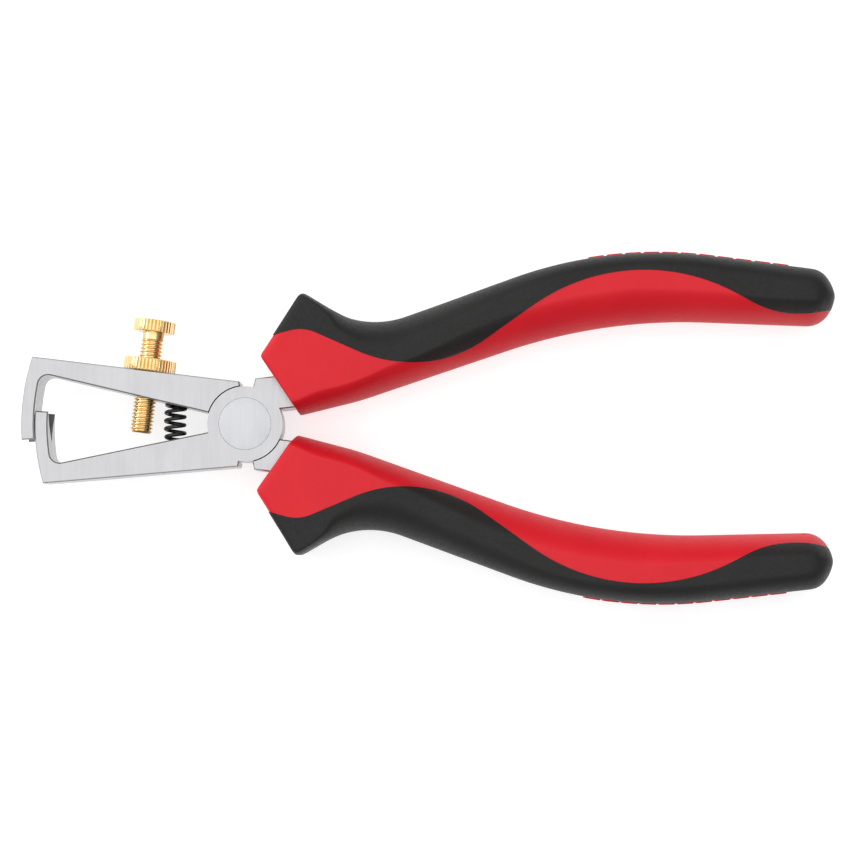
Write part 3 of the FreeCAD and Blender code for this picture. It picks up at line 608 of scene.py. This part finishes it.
def bevel_rims(piece, heights, width, segments=1):
    """Break the round edges that lie at the given heights."""
    edit(piece, "EDGE")
    pick(piece, "edges", lambda edge: any(
        all(abs(vertex.co.z - height) < FINE_MERGE for vertex in edge.verts) for height in heights))
    bpy.ops.mesh.bevel(offset=width, segments=segments, profile=0.5)
    done()


def thread_ridge():
    """The thread's ridge, wound up the shank from its tip."""
    low, foot = -SHANK_LENGTH - THREAD_PITCH, THREAD_ROOT - RIDGE_ROOT
    clear_selection()
    bpy.ops.mesh.primitive_circle_add(vertices=4, radius=1, fill_type="NOTHING")
    piece = bpy.context.active_object
    piece.name = "thread_ridge"
    section = [(foot, -RIDGE_FOOT), (THREAD_RADIUS, -RIDGE_CREST),
               (THREAD_RADIUS, RIDGE_CREST), (foot, RIDGE_FOOT)]
    for vertex, (radius, height) in zip(piece.data.vertices, section):
        vertex.co = Vector((radius, 0, low + height))
    apply_modifier(piece, "SCREW", screw_offset=THREAD_PITCH, iterations=THREAD_TURNS,
                   steps=THREAD_STEPS, render_steps=THREAD_STEPS, use_normal_calculate=True)
    edit(piece, "EDGE")
    pick(piece, "edges", lambda edge: edge.is_boundary)
    bpy.ops.mesh.edge_face_add()
    done()
    recalculate(piece)
    return piece


def threaded_shank():
    """Thread cut on a turned blank with a chamfered tip and a plain neck."""
    shank = cylinder(THREAD_ROOT, -SHANK_LENGTH, -NECK_LENGTH / 2, "shank_root", SHANK_SIDES)
    boolean(shank, "UNION", thread_ridge())
    blank = cylinder(THREAD_RADIUS, -SHANK_LENGTH, -NECK_LENGTH, "shank_blank", SHANK_SIDES)
    bevel_rims(blank, (-SHANK_LENGTH,), TIP_CHAMFER)
    bevel_rims(blank, (-NECK_LENGTH,), THREAD_END_CHAMFER)
    boolean(shank, "INTERSECT", blank)
    neck = cylinder(NECK_RADIUS, -NECK_LENGTH - NECK_OVERLAP, HEAD_HEIGHT / 2, "neck",
                    SHANK_SIDES)
    boolean(shank, "UNION", neck)
    recalculate(shank)
    put(shank, on_screw(HEAD_SEAT))
    smooth(shank, SHANK_SMOOTHING)
    finish_piece(shank, "threaded_shank", "screw", "screw_brass", BRASS, "adjusting_screw")


def knurled(radius, height, teeth, name):
    """A disc with straight knurls round its rim, cut off by chamfers above and below."""
    sides = teeth * KNURL_VERTICES
    disc = cylinder(radius, 0, height, name, sides)
    edit(disc, "VERT")
    step = 2 * math.pi / sides

    def in_groove(vertex):
        number = round(math.atan2(vertex.co.y, vertex.co.x) / step)
        return number % KNURL_VERTICES == 0

    pick(disc, "verts", in_groove)
    share = (radius - KNURL_DEPTH) / radius
    bpy.ops.transform.resize(value=(share, share, 1), center_override=(0, 0, height / 2))
    done()
    blank = cylinder(radius + BLANK_STAND, 0, height, name + "_blank", FINE_SIDES)
    bevel_rims(blank, (0, height), RIM_CHAMFER, 3)
    boolean(disc, "INTERSECT", blank)
    return disc


def screw_head():
    """The knurled head, with a turned recess in its top."""
    head = knurled(HEAD_RADIUS, HEAD_HEIGHT, HEAD_KNURLS, "head")
    recess = cylinder(HEAD_RADIUS * RECESS_SHARE, HEAD_HEIGHT - RECESS_DEPTH,
                      HEAD_HEIGHT + OVERRUN, "recess")
    boolean(head, "DIFFERENCE", recess)
    recalculate(head)
    put(head, on_screw(HEAD_SEAT))
    smooth(head, KNURL_SMOOTHING)
    finish_piece(head, "knurled_head", "head", "screw_brass", BRASS, "screw_head")


def lock_nut():
    """The knurled nut, with a plain bore."""
    nut = knurled(NUT_RADIUS, NUT_HEIGHT, NUT_KNURLS, "nut")
    boolean(nut, "DIFFERENCE", cylinder(NUT_BORE, -OVERRUN, NUT_HEIGHT + OVERRUN, "bore"))
    recalculate(nut)
    put(nut, on_screw(NUT_SEAT))
    smooth(nut, KNURL_SMOOTHING)
    finish_piece(nut, "knurled_lock_nut", "nut", "screw_brass", BRASS, "lock_nut")


# ---------------------------------------------------------------------------------------------
# Rivet and spring
# ---------------------------------------------------------------------------------------------

def rivet():
    """The rivet, ground flush, with a fine bevel round each of its ends."""
    half = STEEL_THICKNESS / 2
    piece = cylinder(RIVET_RADIUS, -half, half, "rivet", FINE_SIDES)
    bevel_rims(piece, (-half, half), RIVET_BEVEL, 2)
    recalculate(piece)
    put(piece, Matrix.Translation(PIVOT))
    smooth(piece, RIVET_SMOOTHING)
    finish_piece(piece, "ground_rivet", "lower_jaw", "rivet_steel", RIVET_STEEL, "pivot_rivet")


def coil_spring():
    """The opening spring: round wire wound between its two seats."""
    low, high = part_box("opening_spring")
    rise = (high.y - low.y) / MM - 2 * SPRING_WIRE
    clear_selection()
    bpy.ops.mesh.primitive_circle_add(vertices=WIRE_SIDES, radius=SPRING_WIRE,
                                      fill_type="NOTHING", location=(SPRING_RADIUS, 0, 0),
                                      rotation=(math.radians(90), 0, 0))
    piece = bpy.context.active_object
    bpy.ops.object.transform_apply(location=True, rotation=True, scale=True)
    steps = int(SPRING_STEPS * SPRING_TURNS)
    apply_modifier(piece, "SCREW", angle=math.radians(360 * SPRING_TURNS), screw_offset=rise,
                   iterations=1, steps=steps, render_steps=steps, use_normal_calculate=True)
    edit(piece, "EDGE")
    pick(piece, "edges", lambda edge: edge.is_boundary)
    bpy.ops.mesh.fill()
    done()
    recalculate(piece)
    for vertex in piece.data.vertices:
        vertex.co.x -= SPRING_BOW * math.sin(math.pi * vertex.co.z / rise)
    base = Vector(((low.x + high.x) / 2, low.y + SPRING_WIRE * MM, (low.z + high.z) / 2))
    put(piece, Matrix.Translation(base) @ Matrix.Rotation(math.radians(-90), 4, "X"))
    smooth(piece, SPRING_SMOOTHING)
    finish_piece(piece, "coil_spring", None, "spring_steel", SPRING_STEEL, "opening_spring")
    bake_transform(piece)


# ---------------------------------------------------------------------------------------------
# Finishes
# ---------------------------------------------------------------------------------------------

class Finish:
    """A node material with short ways to add the nodes that the finishes share."""

    def __init__(self, name, **settings):
        self.material = bpy.data.materials.new(name)
        self.material.use_nodes = True
        self.nodes = self.material.node_tree.nodes
        self.links = self.material.node_tree.links
        self.shader = self.nodes["Principled BSDF"]
        for socket, value in settings.items():
            self.shader.inputs[socket.replace("_", " ")].default_value = value
        self.place = self.nodes.new("ShaderNodeTexCoord").outputs["Object"]

    def mapped(self, scale=(1, 1, 1), turn=(0, 0, 0)):
        node = self.nodes.new("ShaderNodeMapping")
        node.inputs["Scale"].default_value = scale
        node.inputs["Rotation"].default_value = turn
        self.links.new(self.place, node.inputs["Vector"])
        return node.outputs["Vector"]

    def noise(self, scale, detail=3.0, roughness=0.55, place=None):
        node = self.nodes.new("ShaderNodeTexNoise")
        node.inputs["Scale"].default_value = scale
        node.inputs["Detail"].default_value = detail
        node.inputs["Roughness"].default_value = roughness
        self.links.new(place or self.place, node.inputs["Vector"])
        return node.outputs["Fac"]

    def ramp(self, factor, *stops):
        node = self.nodes.new("ShaderNodeValToRGB")
        ramp = node.color_ramp
        while len(ramp.elements) < len(stops):
            ramp.elements.new(0.5)
        for element, (position, value) in zip(ramp.elements, stops):
            element.position = position
            grey = isinstance(value, float)
            element.color = (value, value, value, 1) if grey else (*value, 1)
        self.links.new(factor, node.inputs["Fac"])
        return node.outputs["Color"]

    def mixed(self, factor, first, second):
        node = self.nodes.new("ShaderNodeMix")
        node.data_type = "RGBA"
        for socket, value in ((node.inputs[0], factor), (node.inputs[6], first),
                              (node.inputs[7], second)):
            if isinstance(value, float):
                socket.default_value = value
            elif isinstance(value, tuple):
                socket.default_value = (*value, 1)
            else:
                self.links.new(value, socket)
        return node.outputs[2]

    def bumps(self, *layers):
        """Bump from (height, strength, distance) layers, one over the other."""
        normal = None
        for height, strength, distance in layers:
            node = self.nodes.new("ShaderNodeBump")
            node.inputs["Strength"].default_value = strength
            node.inputs["Distance"].default_value = distance
            self.links.new(height, node.inputs["Height"])
            if normal is not None:
                self.links.new(normal, node.inputs["Normal"])
            normal = node.outputs["Normal"]
        self.links.new(normal, self.shader.inputs["Normal"])

    def colour(self, output):
        self.links.new(output, self.shader.inputs["Base Color"])

    def roughness(self, output):
        self.links.new(output, self.shader.inputs["Roughness"])


def moulded_red():
    """Hard red plastic with a fine spark-eroded grain."""
    finish = Finish("moulded_red", Specular_IOR_Level=0.26)
    broad = finish.noise(60, 2.0)
    grain = finish.noise(5200, 2.0)
    scuff = finish.noise(900, 4.0, 0.7, finish.mapped((1, 0.25, 1), (0, 0, 0.4)))
    finish.colour(finish.ramp(broad, (0.3, (0.6, 0.006, 0.015)), (0.7, (0.65, 0.009, 0.02))))
    finish.roughness(finish.ramp(scuff, (0.35, 0.42), (0.7, 0.52)))
    finish.bumps((grain, 0.35, 0.00006), (scuff, 0.08, 0.00008))
    return finish.material


def moulded_black():
    """Soft black overmould, a little greyer where hands have rubbed it."""
    finish = Finish("moulded_black", Specular_IOR_Level=0.28, Sheen_Weight=0.04,
                    Sheen_Roughness=0.5)
    broad = finish.noise(45, 3.0)
    grain = finish.noise(4300, 2.0)
    speck = finish.noise(1400, 3.0, 0.6)
    finish.colour(finish.ramp(broad, (0.3, (0.0072, 0.0066, 0.0062)),
                              (0.75, (0.0122, 0.0114, 0.0108))))
    finish.roughness(finish.ramp(speck, (0.35, 0.5), (0.7, 0.64)))
    finish.bumps((grain, 0.45, 0.00008), (speck, 0.15, 0.00005))
    return finish.material


def ground_steel(name, tone, turn=0.0):
    """Forged steel, ground in fine straight lines and plated satin."""
    finish = Finish(name, Metallic=1.0)
    lines = finish.noise(1.0, 3.0, 0.65, finish.mapped((9000, 160, 700), (0, 0, turn)))
    streaks = finish.noise(1.0, 2.0, 0.5, finish.mapped((1500, 60, 300), (0, 0, turn)))
    cloud = finish.noise(140, 3.0)
    base = finish.ramp(cloud, (0.3, tuple(0.93 * value for value in tone)), (0.7, tone))
    finish.colour(finish.mixed(finish.ramp(streaks, (0.35, 0.0), (0.75, 0.3)), base,
                               tuple(0.8 * value for value in tone)))
    finish.roughness(finish.ramp(lines, (0.25, 0.24), (0.75, 0.4)))
    finish.bumps((lines, 0.22, 0.00003), (cloud, 0.1, 0.00006))
    return finish.material


def turned_brass():
    """Bright brass with faint turning marks round the screw's axis."""
    finish = Finish("turned_brass", Metallic=1.0)
    angle = math.atan2(SCREW_AXIS.y, SCREW_AXIS.x) - math.pi / 2
    rings = finish.noise(1.0, 2.0, 0.5, finish.mapped((200, 9000, 200), (0, 0, -angle)))
    tarnish = finish.noise(420, 4.0, 0.6)
    finish.colour(finish.ramp(tarnish, (0.3, (0.69, 0.49, 0.21)), (0.7, (0.81, 0.63, 0.36))))
    finish.roughness(finish.ramp(rings, (0.3, 0.16), (0.7, 0.3)))
    finish.bumps((rings, 0.12, 0.00002), (tarnish, 0.06, 0.00003))
    return finish.material


def oiled_spring_wire():
    """Spring wire with black oxide, worn bright in specks."""
    finish = Finish("oiled_spring_wire", Metallic=0.85)
    worn = finish.noise(2600, 3.0, 0.6)
    draw = finish.noise(1.0, 2.0, 0.5, finish.mapped((900, 5000, 900)))
    finish.colour(finish.ramp(worn, (0.55, (0.03, 0.03, 0.032)), (0.8, (0.1, 0.1, 0.105))))
    finish.roughness(finish.ramp(draw, (0.3, 0.3), (0.7, 0.46)))
    finish.bumps((draw, 0.15, 0.00002))
    return finish.material


def steel_levers():
    """The two forged levers keep their shapes and get their finish."""
    for node in ("lower_jaw_lever", "upper_jaw_lever"):
        lever = frame["nodes"][node]
        lever.data.materials.clear()
        lever.data.materials.append(STEEL)


# ---------------------------------------------------------------------------------------------
# Floor, light and camera
# ---------------------------------------------------------------------------------------------

def soft_light(name, place, aim, size, power):
    """A square soft light that faces a point."""
    lamp = bpy.data.lights.new(name, "AREA")
    lamp.shape = "SQUARE"
    lamp.size = size
    lamp.energy = power
    holder = bpy.data.objects.new(name, lamp)
    bpy.context.scene.collection.objects.link(holder)
    holder.location = place
    holder.rotation_euler = (Vector(aim) - Vector(place)).to_track_quat("-Z", "Y").to_euler()


def studio():
    """A pale floor, soft lights above and to the left, and an even surround."""
    clear_selection()
    bpy.ops.mesh.primitive_plane_add(size=6, location=(0, 0, -0.0002))
    floor = bpy.context.active_object
    floor.name = "floor"
    paper = Finish("floor_paper", Roughness=0.9, Specular_IOR_Level=0.1,
                   Emission_Color=(1, 1, 1, 1), Emission_Strength=0.66)
    fibre = paper.noise(90, 2.0)
    paper.colour(paper.ramp(fibre, (0.3, 0.52), (0.7, 0.55)))
    floor.data.materials.append(paper.material)

    world = bpy.data.worlds.new("surround")
    world.use_nodes = True
    world.node_tree.nodes["Background"].inputs["Color"].default_value = (1, 1, 1, 1)
    world.node_tree.nodes["Background"].inputs["Strength"].default_value = 0.35
    bpy.context.scene.world = world

    soft_light("overhead", (-0.15, 0.15, 1.2), (0, 0, 0), 2.2, 20.0)
    soft_light("left", (-0.9, 0.35, 0.4), (-0.02, 0, 0), 0.5, 4.2)
    bpy.context.scene.view_settings.view_transform = "Standard"


def camera():
    """Nearly straight down on the tool, a little from the side of the lower handle."""
    lens = bpy.data.cameras.new("camera")
    lens.lens = 96.0
    lens.sensor_width = 36.0
    lens.clip_start = 0.01
    holder = bpy.data.objects.new("camera", lens)
    bpy.context.scene.collection.objects.link(holder)
    aim = Vector((-0.4, -0.4, 14.0)) * MM
    distance = 490 * MM
    tilt = math.radians(3.2)
    roll = math.radians(0.45)
    turn = Matrix.Rotation(roll, 4, "Z") @ Matrix.Rotation(tilt, 4, "X")
    holder.matrix_world = Matrix.Translation(aim) @ turn @ Matrix.Translation((0, 0, distance))
    bpy.context.scene.camera = holder


RED = moulded_red()
BLACK = moulded_black()
STEEL = ground_steel("ground_steel", (0.45, 0.45, 0.46))
RIVET_STEEL = ground_steel("rivet_steel", (0.47, 0.475, 0.49), 0.05)
BRASS = turned_brass()
SPRING_STEEL = oiled_spring_wire()

steel_levers()
grips()
threaded_shank()
screw_head()
lock_nut()
rivet()
coil_spring()
studio()
camera()
